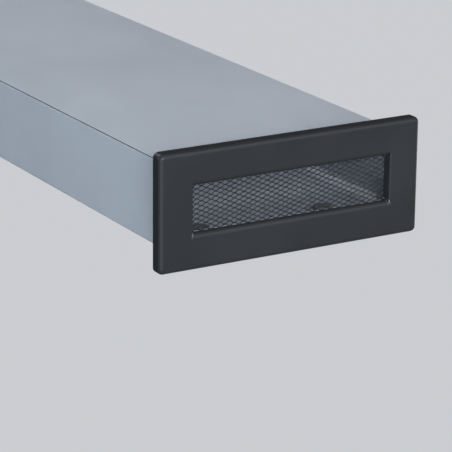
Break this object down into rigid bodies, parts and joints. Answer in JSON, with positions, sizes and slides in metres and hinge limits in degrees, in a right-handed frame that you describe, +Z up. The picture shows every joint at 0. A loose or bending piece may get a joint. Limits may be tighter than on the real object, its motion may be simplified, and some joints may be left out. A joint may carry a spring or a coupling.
{
  "type": "ventilation grille",
  "caption": "Black pressed-steel ventilation grille with an expanded-metal mesh, on a long flat rectangular galvanised wall sleeve; the front pulls out.",
  "frame": {"origin": "on the sleeve's long axis, in the wall plane, which is the back face of the wall flange", "axes": "+Z up, +Y into the wall along the sleeve, +X to the right seen from the room"},
  "size_m": [0.272, 0.75, 0.11],
  "materials": {
    "black_paint": "satin black powder coat",
    "black_mesh": "satin black powder coat on raised mesh",
    "galvanised_inner": "galvanised sheet",
    "zinc_fastener": "bright zinc plating",
    "ferrite": "matt dark ferrite",
    "galvanised": "galvanised sheet, soft mottling"
  },
  "bodies": {
    "sleeve": {"sleeve_trough": "galvanised", "sleeve_cover": "galvanised", "wall_flange": "galvanised"},
    "front": {"front_frame": "black_paint", "mesh": "black_mesh", "insert_collar": "galvanised_inner", "stud_1": "zinc_fastener", "stud_2": "zinc_fastener", "stud_3": "zinc_fastener", "stud_4": "zinc_fastener", "washer_1": "zinc_fastener", "washer_2": "zinc_fastener", "washer_3": "zinc_fastener", "washer_4": "zinc_fastener", "nut_1": "zinc_fastener", "nut_2": "zinc_fastener", "nut_3": "zinc_fastener", "nut_4": "zinc_fastener", "disc_left": "ferrite", "disc_right": "ferrite"}
  },
  "joints": [
    {"name": "front_pull", "type": "slide", "parent": "sleeve", "child": "front", "axis": [0, -1, 0], "range_m": [0, 0.05]}
  ]
}
